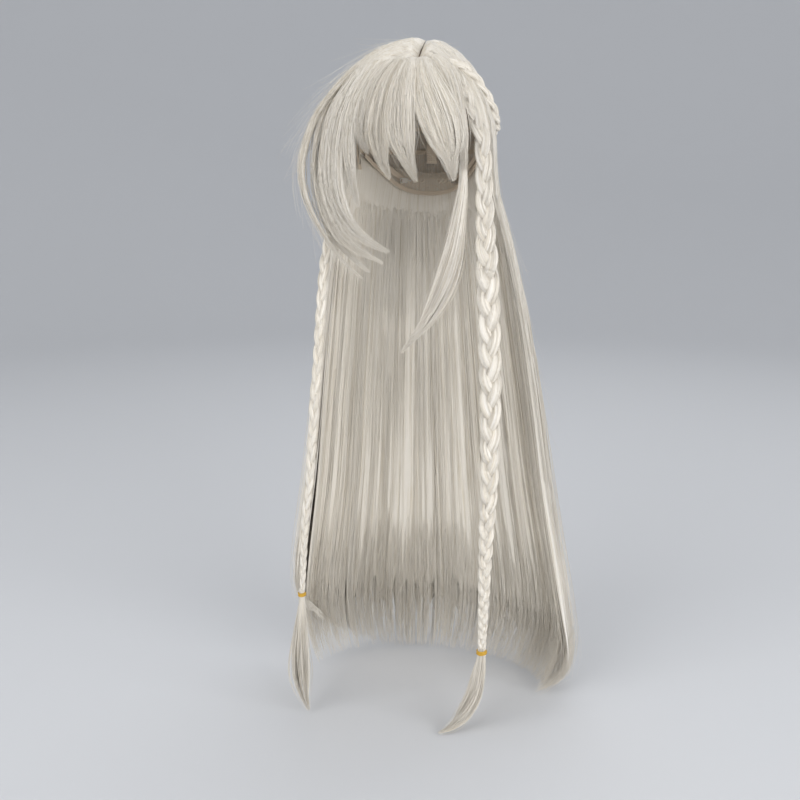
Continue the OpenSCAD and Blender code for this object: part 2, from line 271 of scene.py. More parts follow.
def over_head(y, side, around, up, lift, settle):
    """One guide from the parting at y to the place (around, up), lifted first and then settling."""
    size = np.array([HALF_W, HALF_L, CROWN_H])
    start = unit(parting_point(y, side) / size)
    end = unit(on_head(around, up, 0.0) / size)
    angle = math.acos(float(np.clip(start @ end, -1.0, 1.0)))
    t = np.linspace(0.0, 1.0, OVER_STEPS)[:, None]
    way = (np.sin((1 - t) * angle) * start + np.sin(t * angle) * end) / math.sin(angle)
    full = HAIR_OUT + lift + (settle - lift) * ease(t)
    root = float(np.interp(y, PART_STOPS, PART_DEPTHS))
    rise = float(np.interp(y, PART_STOPS, PART_RISES))
    out = root + (full - root) * ease(t / rise)
    low = np.where(way[:, 2:3] < 0, NAPE_H, CROWN_H)
    reach = np.hstack([HALF_W + out, HALF_L + out, low + out])
    return way * reach


print("first guide:", over_head(-40.0, 1, 60.0, 0.0, 6.0, 2.0)[[0, -1]].round(1))

# %% [markdown]
# ## Bodies of locks
# A lock needs a solid body, so that light doesn't pass through it, and its surface has to show the
# comb lines of the hair. A flat grid is made by one operator, rolled up along the flow, welded at
# its seam and closed at both ends. The comb lines are real ridges in the mesh.
# %% Comb lines
def comb(u, v, seed, lines):
    """Ridges from -1 to 1 that run along the hair and drift slowly."""
    rng = np.random.default_rng(seed)
    total = 0.0
    weight = 0.0
    for share, size in ((1.0, 0.22), (0.8, 0.45), (0.7, 1.0)):
        bend = rng.uniform(-1.5, 1.5)
        phase = rng.uniform(0.0, 2.0 * math.pi)
        wave = np.sin(math.pi * lines * size * u + phase + bend * v)
        total = total + share * wave
        weight += share
    return total / weight


def new_mesh_object(name, mesh, material):
    """Links a finished mesh at the origin, with its material."""
    mesh.materials.append(material)
    piece = bpy.data.objects.new(name, mesh)
    bpy.context.scene.collection.objects.link(piece)
    return piece


# %% [markdown]
# The grid's first number goes round the lock and its second goes along it. Every shape is finished
# in the same way: its doubled points are merged, its open ends are filled, and it faces outwards.
# %% The body of a lock or a sheet
WELD = 2e-6


def finished(shape, name, material, weld=WELD, close=True):
    """Welds a shape, closes its open rims, turns it outwards and links it as a smooth piece."""
    bmesh.ops.remove_doubles(shape, verts=shape.verts, dist=weld)
    if close:
        rims = [e for e in shape.edges if len(e.link_faces) == 1]
        bmesh.ops.holes_fill(shape, edges=rims, sides=0)
    bmesh.ops.recalc_face_normals(shape, faces=shape.faces)
    for face in shape.faces:
        face.smooth = True
    mesh = bpy.data.meshes.new(name)
    shape.to_mesh(mesh)
    shape.free()
    return new_mesh_object(name, mesh, material)


def hair_body(name, flow, material, seed, around=48, along=48, power=2.0, lines=14.0,
              ridge=0.16, end=0.95, pinch=0.3, thin=0.1, jag=0.0, blunt=False):
    """A closed, ridged solid along a flow. It thins out before the tips, unless it is blunt."""
    shape = bmesh.new()
    shape.loops.layers.uv.new("UVMap")
    bmesh.ops.create_grid(shape, x_segments=around, y_segments=along, size=1.0, calc_uvs=True)
    flat = np.array([v.co[:2] for v in shape.verts])
    turn = (flat[:, 0] + 1.0) * math.pi
    v = (flat[:, 1] + 1.0) / 2.0
    u = -np.cos(turn)
    w = np.sign(np.sin(turn)) * (1.0 - np.abs(u) ** power) ** 0.5
    w[np.abs(np.abs(u) - 1.0) < 1e-9] = 0.0
    shut = np.ones(len(v)) if blunt else np.clip((1.0 - v) / pinch, 0.0, 1.0) ** 0.6
    ridged = w * (1.0 + ridge * comb(u, v, seed, lines)) * shut
    stop = end + jag * comb(u, 0.0, seed + 7, lines * 1.5)
    place = flow(u * (thin + (1.0 - thin) * shut), ridged, v * stop) * MM
    for vert, spot in zip(shape.verts, place):
        vert.co = spot
    uv = shape.loops.layers.uv.active
    for face in shape.faces:
        for loop in face.loops:
            loop[uv].uv.x *= flow.girth * MM
            loop[uv].uv.y *= flow.length * MM
    return finished(shape, name, material)


# %% [markdown]
# ## Fibres
# A synthetic fibre is far finer than anything worth modelling one by one, so each fibre here stands
# for a few dozen. Curves with a small three-sided profile are the quickest way to make thousands of
# them. The curve is then turned into a mesh, and every fibre carries its own tone.
# %% The profile of a fibre
profile_data = bpy.data.curves.new("fibre profile", "CURVE")
profile_line = profile_data.splines.new("POLY")
profile_line.points.add(2)
for corner, point in enumerate(profile_line.points):
    slant = corner * 2.0 * math.pi / 3.0
    point.co = (math.cos(slant), math.sin(slant), 0.0, 1.0)
profile_line.use_cyclic_u = True
profile = bpy.data.objects.new("fibre profile", profile_data)
bpy.context.scene.collection.objects.link(profile)


def fibre_mesh(name, paths, thick, tones, material):
    """One mesh of many fibres from paths[fibre, point, xyz] and half thicknesses, in millimetres."""
    count, points = paths.shape[:2]
    curve = bpy.data.curves.new(name, "CURVE")
    curve.dimensions = "3D"
    curve.bevel_mode = "OBJECT"
    curve.bevel_object = profile
    curve.use_fill_caps = True
    curve.twist_mode = "MINIMUM"
    with_weight = np.concatenate([paths * MM, np.ones((count, points, 1))], axis=2)
    half = np.broadcast_to(thick * MM, (count, points))
    for line, sizes in zip(with_weight, half):
        spline = curve.splines.new("POLY")
        spline.points.add(points - 1)
        spline.points.foreach_set("co", line.ravel())
        spline.points.foreach_set("radius", sizes)
        spline.use_smooth = True
    holder = bpy.data.objects.new(name + " curves", curve)
    bpy.context.scene.collection.objects.link(holder)
    ready = holder.evaluated_get(bpy.context.evaluated_depsgraph_get())
    mesh = bpy.data.meshes.new_from_object(ready)
    mesh.name = name
    bpy.data.objects.remove(holder)
    bpy.data.curves.remove(curve)
    tone = mesh.attributes.new("tone", "FLOAT", "POINT")
    per_fibre = len(mesh.vertices) // count
    tone.data.foreach_set("value", np.repeat(tones, per_fibre).astype(np.float32))
    mesh.materials.clear()
    return new_mesh_object(name, mesh, material)


# %% [markdown]
# Each fibre gets a place across and through the lock, and keeps it along the way, except that it is
# drawn to a clump, sways a little, ends at its own length and may stray. Most fibres lie near the
# surface, where they are seen, and a few are buried to fill the ends that the body leaves open.
# %% Fibres that follow a flow
SKIN_FROM, SKIN_TO, BURIED_SHARE = 0.8, 1.18, 0.12
POINT_FROM, FRAY_FROM = 0.7, 0.75
TONE_MIDDLE, TONE_SPREAD = 0.5, 0.16


def hair_fibres(name, flow, material, seed, count, points=14, power=2.0, clumps=12, gather=0.55,
                wander=0.05, ragged=0.12, stray=0.08, half=0.3, inside=0.3, waves=1.4, wild=0.0,
                even=False, late=0.0, knots=((0.0, 1.0), (0.0, 1.0)), point=0.0, fray=0.0,
                stagger=0.0):
    """Loose fibres on and in a flow, gathered towards clumps as they near the tip."""
    rng = np.random.default_rng(seed)
    step = np.linspace(0.0, 1.0, points)[None, :]
    step = step + rng.uniform(-0.5, 0.5, (count, 1)) / points * np.sin(math.pi * step)
    v = np.interp(step, *knots)
    v = v * (1.0 - ragged * rng.random((count, 1)) ** 1.4)
    first = stagger * rng.random((count, 1))
    v = first + (1.0 - first) * v
    u0 = np.sin((rng.random((count, 1)) * 2.0 - 1.0) * math.pi / 2.0)
    if power > 3.0:
        u0 = rng.random((count, 1)) * 2.0 - 1.0
    edge = (1.0 - np.abs(u0) ** power) ** 0.5
    face = np.where(rng.random((count, 1)) < inside, -1.0, 1.0)
    level = SKIN_FROM + (SKIN_TO - SKIN_FROM) * rng.random((count, 1))
    buried = rng.random((count, 1)) < BURIED_SHARE
    level = np.where(buried, rng.random((count, 1)), level)
    w0 = face * edge * level
    centre_u = np.sort(rng.random(clumps) * 2.0 - 1.0)
    nearest = np.abs(u0 - centre_u[None, :]).argmin(axis=1)
    pull = gather * ease((v - late) / (1.0 - late)) * rng.uniform(0.5, 1.0, (count, 1))
    u = u0 + (centre_u[nearest][:, None] - u0) * pull
    lift = rng.uniform(-0.6, 0.6, clumps)[nearest][:, None]
    w = w0 + (lift - w0) * pull
    narrow = 1.0 - point * ease((v - POINT_FROM) / (1.0 - POINT_FROM))
    apart = fray * ease((v - FRAY_FROM) / (1.0 - FRAY_FROM))
    u = u * narrow + apart * rng.normal(0.0, 1.0, (count, 1))
    w = w * narrow + apart * rng.normal(0.0, 1.0, (count, 1))
    phase = rng.random((count, 2)) * 2.0 * math.pi
    speed = waves * rng.uniform(0.5, 1.4, (count, 2)) * 2.0 * math.pi
    sway = wander * rng.random((count, 2))
    grown = 0.15 + ease(v)
    u = u + sway[:, 0:1] * np.sin(speed[:, 0:1] * v + phase[:, 0:1]) * grown
    w = w + 2.0 * sway[:, 1:2] * np.sin(speed[:, 1:2] * v + phase[:, 1:2]) * grown
    loose = rng.random((count, 1)) < stray
    push = np.where(loose, rng.uniform(0.3, 1.3, (count, 1)), 0.0) * grown
    w = w + push * np.where(w >= 0, 1.0, -1.0)
    u = u * (1.0 + 0.25 * push)
    free = (rng.random((count, 1)) < wild) * ease(v) * ease(v * 1.5)
    w = w + free * rng.uniform(0.5, 3.0, (count, 1)) * np.where(w >= 0, 1.0, -1.0)
    u = u + free * rng.normal(0.0, 0.35, (count, 1))
    paths = flow(np.clip(u, -1.3, 1.3), w, v)
    paths[..., 2] = np.maximum(paths[..., 2], FLOOR_Z + 2.0 * half)
    taper = np.interp(np.linspace(0, 1, points), [0.0, 0.08, 0.7, 1.0], [0.7, 1.0, 0.85, 0.2])
    if even:
        taper = np.ones(points)
    sizes = half * taper[None, :] * rng.uniform(0.75, 1.2, (count, 1))
    tones = np.clip(TONE_MIDDLE + rng.normal(0.0, TONE_SPREAD, count), 0.0, 1.0)
    return fibre_mesh(name, paths, sizes, tones, material)


print("fibre tools ready")

# %% [markdown]
# ## The flow of a braid
# In a three-strand braid every strand swings from side to side and, twice as fast, from front to
# back. The three strands do the same thing a third of a turn apart. The turns are longer where the
# braid is wider, and loose at its start.
# %% One strand of a braid
STRAND_SWING, STRAND_DEPTH = 0.26, 0.13
STRAND_HALF_W, STRAND_HALF_T = 0.245, 0.17
BRAID_STEPS = 900


def braid_flow(rows, turn, pitch, first, last, normal=None, loose=0.0):
    """The flow of one strand between two shares of the braid's length. turn is 0, 1 or 2."""
    path, length = smooth_path(rows, BRAID_STEPS)
    along = unit(np.gradient(path[:, :3], axis=0))
    look = np.array([0.0, -1.0, 0.2]) if normal is None else normal(path[:, :3])
    across = unit(np.cross(along, look))
    out = np.cross(across, along)
    width = path[:, 3:4]
    share = np.linspace(0.0, 1.0, len(path))
    rate = 1.0 / (width[:, 0] * pitch * (1.0 + loose * (1.0 - ease(share / 0.3))))
    phase = np.cumsum(rate) * length / len(path) * 2.0 * math.pi + turn * 2.0 * math.pi / 3.0
    swing = STRAND_SWING * width * np.sin(phase)[:, None]
    depth = -STRAND_DEPTH * width * np.sin(2.0 * phase)[:, None]
    middle = path[:, :3] + across * swing + out * depth
    heading = unit(np.gradient(middle, axis=0))
    flat = unit(np.cross(heading, out))
    up = np.cross(flat, heading)
    flow = path_flow(middle, flat * STRAND_HALF_W * width, up * STRAND_HALF_T * width,
                     length * (last - first), 0.7 * float(width.max()), first, last)
    flow.turns = float(phase[-1] - phase[0]) / (2.0 * math.pi) * (last - first)
    return flow


print("braid tools ready")

# %% [markdown]
# ## Hair colour
# The fibre is a pale platinum cream. It is darker and more olive where hair lies in hair. On the outer
# hair that comes from the light itself, so the material only needs a narrow range of tones; the hair
# underneath gets copies whose palest tone is cream, painted shade for the inner curtain.
# %% Hair materials
PALE, CREAM, STRAW = (0.87, 0.835, 0.785), (0.80, 0.75, 0.665), (0.64, 0.56, 0.43)


def add_node(material, kind, **values):
    """Adds a shader node and sets its fields and sockets by name."""
    node = material.node_tree.nodes.new(kind)
    for key, value in values.items():
        if hasattr(node, key):
            setattr(node, key, value)
        else:
            node.inputs[key.replace("_", " ")].default_value = value
    return node


def plain_material(name, colour, roughness, metallic=0.0):
    """A material with uniform values, to build on."""
    material = bpy.data.materials.new(name)
    material.use_nodes = True
    surface = material.node_tree.nodes["Principled BSDF"]
    surface.inputs["Base Color"].default_value = (*colour, 1.0)
    surface.inputs["Roughness"].default_value = roughness
    surface.inputs["Metallic"].default_value = metallic
    material.diffuse_color = (*colour, 1.0)
    return material


def tone_ramp(material, colours):
    """A colour ramp through the given colours."""
    ramp = add_node(material, "ShaderNodeValToRGB")
    stops = ramp.color_ramp.elements
    while len(stops) < len(colours):
        stops.new(0.5)
    for number, colour in enumerate(colours):
        stops[number].position = number / (len(colours) - 1)
        stops[number].color = (*colour, 1.0)
    return ramp


def add_bump(material, height, strength, distance):
    """Roughens the surface of a material with a height."""
    link = material.node_tree.links.new
    bump = add_node(material, "ShaderNodeBump", Strength=strength, Distance=distance)
    link(height, bump.inputs["Height"])
    link(bump.outputs["Normal"], material.node_tree.nodes["Principled BSDF"].inputs["Normal"])


def fibre_material(name, colours):
    """Hair colour for loose fibres, from the tone that each of them carries."""
    material = plain_material(name, colours[1], 0.36)
    link = material.node_tree.links.new
    surface = material.node_tree.nodes["Principled BSDF"]
    tone = add_node(material, "ShaderNodeAttribute", attribute_name="tone")
    ramp = tone_ramp(material, colours)
    link(tone.outputs["Fac"], ramp.inputs["Fac"])
    link(ramp.outputs["Color"], surface.inputs["Base Color"])
    surface.inputs["Specular IOR Level"].default_value = 0.45
    return material


def body_material(name, colours):
    """Hair colour for the bodies of locks, with fine streaks along the hair."""
    material = plain_material(name, colours[1], 0.42)
    link = material.node_tree.links.new
    surface = material.node_tree.nodes["Principled BSDF"]
    coords = add_node(material, "ShaderNodeUVMap", uv_map="UVMap")
    stretch = add_node(material, "ShaderNodeMapping", Scale=(1500.0, 14.0, 1.0))
    fine = add_node(material, "ShaderNodeTexNoise", Scale=1.0, Detail=3.0, Roughness=0.6)
    link(coords.outputs["UV"], stretch.inputs["Vector"])
    link(stretch.outputs["Vector"], fine.inputs["Vector"])
    broad_map = add_node(material, "ShaderNodeMapping", Scale=(260.0, 5.0, 1.0))
    broad = add_node(material, "ShaderNodeTexNoise", Scale=1.0, Detail=2.0)
    link(coords.outputs["UV"], broad_map.inputs["Vector"])
    link(broad_map.outputs["Vector"], broad.inputs["Vector"])
    both = add_node(material, "ShaderNodeMath", operation="ADD")
    link(fine.outputs["Fac"], both.inputs[0])
    link(broad.outputs["Fac"], both.inputs[1])
    spread = add_node(material, "ShaderNodeMapRange")
    spread.inputs["From Min"].default_value = 0.65
    spread.inputs["From Max"].default_value = 1.3
    link(both.outputs["Value"], spread.inputs["Value"])
    ramp = tone_ramp(material, colours)
    link(spread.outputs["Result"], ramp.inputs["Fac"])
    link(ramp.outputs["Color"], surface.inputs["Base Color"])
    add_bump(material, both.outputs["Value"], 0.7, 0.0006)
    surface.inputs["Specular IOR Level"].default_value = 0.4
    return material


hair_loose = fibre_material("hair fibres", (STRAW, CREAM, PALE))
hair_solid = body_material("hair body", (STRAW, CREAM, PALE))
# The hair underneath: the same ramps with the palest tone dropped to cream, painted shade for hair
# inside the curtain.
under_painted_shade_loose = fibre_material("under hair fibres", (STRAW, CREAM, CREAM))
under_painted_shade_solid = body_material("under hair body", (STRAW, CREAM, CREAM))
print("materials:", [m.name for m in bpy.data.materials])

# %% [markdown]
# ## Putting a lock together
# A lock is its solid body and its loose fibres, made from one flow, riding on the same part of the
# wig.
# %% Dress a flow with a body and fibres
FIBRE_SHARE = 1.0


def dress(name, flow, seed, count, body_args, fibre_args, under=False):
    """Makes the body and the fibres of one lock and returns both."""
    # With under set, the lock takes the darker under hair materials, which carry painted shade.
    solid = hair_body(name + "_body", flow, under_painted_shade_solid if under else hair_solid, seed,
                      **body_args)
    loose = hair_fibres(name + "_fibres", flow, under_painted_shade_loose if under else hair_loose, seed + 1,
                        int(count * FIBRE_SHARE), **fibre_args)
    print(name, "length", round(flow.length), "mm,", len(loose.data.polygons), "fibre faces")
    return solid, loose


# %% [markdown]
# ## The long back hair
# Seven panels cover the back from ear to ear. Each guide leaves the parting or the crown, runs over
# the head and on down to the floor, where the hair turns inwards. Each panel bends softly from the cap
# to the hanging part.
# %% The path of one long guide
FALL_ROWS = np.array([
    [-60, 98, 104, 1, 2], [-100, 108, 102, 3, 6], [-190, 127, 101, 6, 12],
    [-320, 146, 104, 9, 18], [-440, 161, 108, 12, 22], [-580, 184, 116, 15, 26],
    [-650, 193, 120, 17, 26], [-685, 187, 113, 16, 24], [-703, 172, 100, 15, 21],
    [-711, 150, 84, 14, 18]], float)
UNDER_ROWS = np.array([
    [-76, 86, 80, 2, 4], [-120, 96, 81, 4, 8], [-190, 108, 82, 6, 12], [-320, 126, 85, 9, 18],
    [-440, 141, 89, 12, 22], [-580, 163, 97, 15, 26], [-655, 168, 98, 16, 25],
    [-707, 148, 82, 15, 22]], float)
LEFT_ROOTS = ([0, 17, 50, 75, 101], [26, 24.5, 17, 4, -24])
RIGHT_ROOTS = ([0, 17, 50, 75, 101], [26, 24.5, 18, 8, -6])
SHEET_STEPS = 120
FALL_WIDEN, UNDER_WIDEN = 1.3, 3.0
UNDER_FLARE = np.array([0.0, 13.0, 10.0, 0.0, 0.0])


def on_fall(rows, angle):
    """The points of a table of back hair at one angle, where 0 is straight behind."""
    angle = math.radians(angle)
    return np.column_stack([rows[:, 3] + rows[:, 1] * math.sin(angle),
                            rows[:, 4] + rows[:, 2] * math.cos(angle), rows[:, 0]])


def long_guide(angle):
    """One guide from the parting to the floor."""
    side = float(np.clip(angle / 10.0, -1.0, 1.0))
    places, roots = LEFT_ROOTS if angle > 0 else RIGHT_ROOTS
    y = float(np.interp(abs(angle), places, roots))
    lift = float(np.interp(angle, [-100, -50, 0, 50, 100], [6, 5, 4, 6, 8]))
    settle = float(np.interp(angle, [-100, 0, 50, 100], [4, 3, 5, 10]))
    start = over_head(y, side, 180.0 - angle, -4.0, lift, settle)
    rows = FALL_ROWS.copy()
    shorter = float(np.interp(angle, [-100, -75, -50, -25], [0.87, 0.92, 0.97, 1.0]))
    rows[:, 0] = rows[0, 0] + (rows[:, 0] - rows[0, 0]) * shorter
    return smooth_path(np.vstack([start[::4], on_fall(rows, angle)]), SHEET_STEPS)[0]


def fall_flow(low, high):
    """The flow of one panel between two angles, a little wider so that neighbours meet."""
    angles = np.linspace(low - FALL_WIDEN, high + FALL_WIDEN, 9)
    guides = np.array([long_guide(a) for a in angles])
    share = np.linspace(0.0, 1.0, SHEET_STEPS)
    thick = np.interp(share, [0, 0.03, 0.1, 0.25, 0.4, 0.85, 1], [1.2, 3.0, 5.0, 5.5, 8.0, 9.0, 5.0])
    return sheet_flow(guides, thick)


print("one guide ends at", long_guide(0.0)[-1].round(1))

# %% [markdown]
# A fibre has more of its points on the head, where it bends most, than on the straight part below.
# %% Seven panels
FALLS = [("fall_right_1", -100, -75, "fall_right"), ("fall_right_2", -75, -50, "fall_right"),
         ("fall_centre_1", -50, -17, "fall_centre"), ("fall_centre_2", -17, 17, "fall_centre"),
         ("fall_centre_3", 17, 50, "fall_centre"), ("fall_left_1", 50, 75, "fall_left"),
         ("fall_left_2", 75, 100, "fall_left")]
HEAD_KNOTS = ((0.0, 0.58, 0.8, 1.0), (0.0, 0.27, 0.8, 1.0))
for number, (name, low, high, body) in enumerate(FALLS):
    parts = dress(name, fall_flow(low, high), 100 + number * 10, 24 * (high - low),
                  dict(around=80, along=90, power=8.0, lines=high - low, end=0.91, pinch=0.12,
                       thin=1.0, jag=0.03),
                  dict(points=20, power=8.0, clumps=26, gather=0.42, wander=0.03, ragged=0.08,
                       knots=HEAD_KNOTS, half=0.42, wild=0.02, stray=0.05, inside=0.3, late=0.5))
    for piece in parts:
        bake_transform(piece)
        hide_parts(name)

# %% [markdown]
# ## The hair underneath
# Shorter rows are sewn lower on the cap, inside the long panels. They fill the curtain and show
# through the opening under the face.
# %% Four inner panels
UNDERS = [("under_right", -94, -52, "fall_right"), ("under_centre_1", -48, 0, "fall_centre"),
          ("under_centre_2", 0, 48, "fall_centre"), ("under_left", 52, 94, "fall_left")]


def under_flow(low, high):
    """The flow of one inner panel, from just outside the net at the nape."""
    guides = []
    for angle in np.linspace(low - UNDER_WIDEN, high + UNDER_WIDEN, 9):
        up = float(np.interp(abs(angle), [0, 60, 94], [-16, -10, 0]))
        root = on_head(180.0 - angle, np.array([up, up - 5.0]), 2.4)
        edge = ease((abs(angle) - 72.0) / 25.0)
        rows = UNDER_ROWS + UNDER_FLARE * edge
        guides.append(smooth_path(np.vstack([root, on_fall(rows, angle)]), SHEET_STEPS)[0])
    return sheet_flow(np.array(guides), np.interp(np.linspace(0, 1, SHEET_STEPS),
                                                  [0, 0.1, 0.3, 1], [1.0, 3.0, 7.0, 7.0]))


# The inner panels take the under hair materials, painted shade for hair that lies inside the curtain.
for number, (name, low, high, body) in enumerate(UNDERS):
    parts = dress(name, under_flow(low, high), 200 + number * 10, 17 * (high - low),
                  dict(around=80, along=60, power=8.0, lines=0.5 * (high - low), end=0.87,
                       ridge=0.2, pinch=0.2, thin=1.0, jag=0.04),
                  dict(points=12, power=8.0, clumps=22, gather=0.35, wander=0.05, ragged=0.1,
                       half=0.45, stray=0.06, inside=0.7, late=0.3), under=True)
    for piece in parts:
        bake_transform(piece)
        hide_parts(name)

# %% [markdown]
# ## The hair over the front of the crown
# In front of the ears the hair leaves the parting sideways. On the wearer's right it runs down under
# the side locks. On the left it is gathered back towards the place where the big braid starts.
# %% Two front sheets
def front_flow(side, roots, rounds, ups, lift, settle):
    """The flow from the parting to a line of ends, given at evenly spaced stops."""
    stops = np.linspace(0.0, 1.0, 9)
    guides = []
    for stop in stops:
        y = float(np.interp(stop, [0.0, 1.0], roots))
        around = float(np.interp(stop, np.linspace(0, 1, len(rounds)), rounds))
        up = float(np.interp(stop, np.linspace(0, 1, len(ups)), ups))
        guides.append(evenly(over_head(y, side, around, up, lift, settle), 60)[0])
    thick = np.interp(np.linspace(0, 1, 60), [0, 0.08, 0.3, 1], [1.2, 3.5, 5.5, 5.5])
    return sheet_flow(np.array(guides), thick)


front_right = front_flow(-1, (-60.0, -4.0), (-32, -55, -75, -94), (34, 24, 8, -8), 6.0, 3.0)
front_left = front_flow(1, (-57.0, -14.0), (52, 58, 68, 83), (27, 20, 10, -3), 6.5, 7.0)
FRONTS = [("crown_front_right", front_right, ("crown_right_front", "crown_right_back")),
          ("crown_front_left", front_left, ("crown_left_front", "crown_left_back"))]
for number, (name, flow, nodes) in enumerate(FRONTS):
    parts = dress(name, flow, 300 + number * 10, 900,
                  dict(around=64, along=40, power=8.0, lines=26, end=0.99, ridge=0.2, pinch=0.05,
                       thin=1.0),
                  dict(points=11, power=8.0, clumps=14, gather=0.5, wander=0.03, ragged=0.03,
                       half=0.3, stray=0.03, inside=0.1))
    for piece in parts:
        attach(piece, "cap")
        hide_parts(*nodes)

# %% [markdown]
# ## Locks
# Every lock is a row of stops: its place, its width and thickness, and the way its flat side looks,
# in degrees round from the face and up.
# %% The locks round the face
LOCKS = {
    "bang_right_outer": [
        [-6, -58, 88, 7, 2, -8, 50], [-13, -79, 88, 9, 5, -10, 46], [-31, -100, 62, 15, 6, -20, 15],
        [-42, -105, 24, 18, 6, -25, 5], [-42, -103, 2, 15, 5, -25, 0],
        [-38, -100, -13, 4, 3, -20, 0]],
    "bang_right_inner": [
        [-1, -59, 88, 6, 2, -4, 50], [-3, -80, 89, 8, 5, -4, 46], [-14, -104, 62, 14, 6, -8, 15],
        [-21, -110, 22, 19, 6, -10, 3], [-20, -108, -16, 13, 5, -8, 0], [-12, -103, -40, 4, 3, -5, 0]],
    "bang_centre": [
        [4, -60, 87, 6, 2, 4, 50], [7, -81, 89, 8, 5, 4, 46], [4, -106, 62, 15, 6, 0, 15],
        [2, -112, 22, 20, 6, 2, 3], [8, -109, -14, 15, 5, 5, 0], [18, -102, -43, 4, 3, 8, 0]],
    "bang_left": [
        [10, -60, 87, 6, 2, 10, 50], [19, -79, 89, 10, 5, 12, 46], [28, -98, 64, 22, 6, 20, 18],
        [42, -100, 28, 31, 6, 28, 5], [51, -93, -6, 26, 6, 35, 0], [57, -83, -42, 5, 3, 40, 0]],
    "temple_hair_left": [
        [11, -56, 90, 8, 2, 20, 60], [33, -67, 92, 13, 5, 30, 50], [50, -77, 72, 16, 6, 38, 30],
        [60, -80, 40, 14, 6, 45, 10], [66, -74, 6, 12, 6, 52, 0], [65, -60, -35, 11, 5, 52, 0]],
    "side_lock_right_1": [
        [2, -58, 89, 8, 2, -8, 55], [-22, -71, 92, 12, 5, -18, 50], [-40, -75, 76, 13, 5, -32, 32],
        [-57, -84, 42, 15, 6, -38, 12], [-64, -88, 4, 18, 6, -36, 0],
        [-62, -84, -36, 15, 5, -34, 0], [-55, -77, -72, 5, 3, -32, 0]],
    "side_lock_right_2": [
        [8, -53, 95, 10, 2, -5, 62], [-14, -57, 103, 13, 5, -20, 62], [-46, -58, 88, 19, 6, -45, 38],
        [-73, -68, 42, 20, 8, -42, 12], [-84, -74, -10, 20, 8, -36, 0],
        [-81, -76, -60, 19, 8, -34, 0], [-60, -73, -100, 14, 7, -32, 0],
        [-20, -70, -124, 4, 3, -30, 0]],
    "side_lock_right_3": [
        [8, -36, 103, 10, 2, -5, 72], [-12, -37, 112, 14, 5, -30, 70], [-54, -35, 92, 18, 6, -65, 45],
        [-92, -44, 44, 20, 8, -60, 12], [-103, -55, -10, 20, 8, -52, 0],
        [-99, -61, -60, 18, 8, -46, 0], [-74, -67, -110, 13, 7, -38, 0],
        [-28, -68, -137, 4, 3, -30, 0]],
    "side_lock_right_4": [
        [8, -14, 109, 10, 2, -5, 80], [-12, -14, 117, 13, 5, -60, 76], [-60, -11, 95, 18, 6, -85, 45],
        [-100, -20, 44, 19, 8, -72, 12], [-113, -35, -12, 18, 8, -60, 0],
        [-111, -43, -60, 15, 7, -52, 0], [-89, -54, -112, 11, 6, -44, 0],
        [-46, -61, -148, 4, 3, -40, 0]],
    "side_lock_right_5": [
        [8, -18, 109, 8, 2, -5, 80], [-25, -19, 113, 14, 4, -45, 72],
        [-64, -21, 91, 20, 6, -65, 45], [-91, -30, 62, 24, 7, -72, 28],
        [-105, -41, 36, 20, 7, -70, 8], [-113, -49, 6, 14, 6, -68, 0],
        [-115, -54, -30, 8, 5, -66, 0], [-110, -56, -62, 3, 3, -62, 0]],
    "outer_strand_right": [
        [8, -22, 108, 6, 2, -5, 78], [-28, -24, 112, 14, 4, -40, 72],
        [-63, -27, 92, 24, 6, -65, 45], [-86, -33, 70, 26, 7, -72, 30],
        [-99, -38, 54, 22, 7, -72, 18], [-112, -48, 34, 15, 6, -70, 8],
        [-122, -54, 8, 11, 6, -68, 0], [-130, -57, -26, 9, 6, -66, 0],
        [-124, -57, -64, 8, 5, -62, 0], [-105, -58, -102, 7, 5, -55, 0],
        [-80, -60, -136, 5, 4, -45, 0], [-54, -64, -156, 3, 3, -40, 0]],
}
WIDER = {"bang_right_outer": (1.9, 1.4), "bang_right_inner": (1.9, 1.5),
         "bang_centre": (1.9, 1.5), "bang_left": (1.8, 1.3), "side_lock_right_1": (1.6, 1.3),
         "side_lock_right_2": (1.9, 1.3), "side_lock_right_3": (1.9, 1.3),
         "side_lock_right_4": (1.9, 1.3), "temple_hair_left": (1.5, 1.2)}
for number, (name, rows) in enumerate(LOCKS.items()):
    flow = lock_flow(rows, WIDER.get(name, (1.0, 1.0)))
    parts = dress(name, flow, 400 + number * 10, 130 + flow.girth * 4.5,
                  dict(around=40, along=44, lines=12, end=0.76, ridge=0.12, pinch=0.7),
                  dict(points=12, clumps=4 if "bang" in name else 9,
                       gather=0.35 if "bang" in name else 0.5,
                       wander=0.05, ragged=0.36, half=0.33,
                       stray=0.06, wild=0.015, inside=0.35, late=0.25, point=0.7, fray=0.35))
    for piece in parts:
        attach(piece, "cap")
        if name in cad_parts:
            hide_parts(name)

# %% [markdown]
# The lock beside the face hangs from the temple.
# %% The face lock
FACE_ROWS = [
    [63, -60, -22, 9, 6, 50, 0], [64, -57, -43, 11, 7, 50, 0], [61, -55, -70, 16, 9, 45, 0],
    [57, -55, -100, 21, 10, 40, 0], [51, -57, -135, 27, 10, 35, 0],
    [40, -61, -170, 25, 9, 30, 0], [22, -67, -206, 15, 6, 25, 0], [-6, -73, -242, 4, 3, 20, 0]]
parts = dress("face_lock", lock_flow(FACE_ROWS), 520, 520,
              dict(around=48, along=60, lines=10, end=0.78, ridge=0.18, pinch=0.5),
              dict(points=13, clumps=14, gather=0.6, wander=0.04, ragged=0.25, half=0.32,
                   stray=0.05, wild=0.01, inside=0.4, late=0.3, point=0.6, fray=0.25))
for piece in parts:
    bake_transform(piece)
    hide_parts("face_lock")
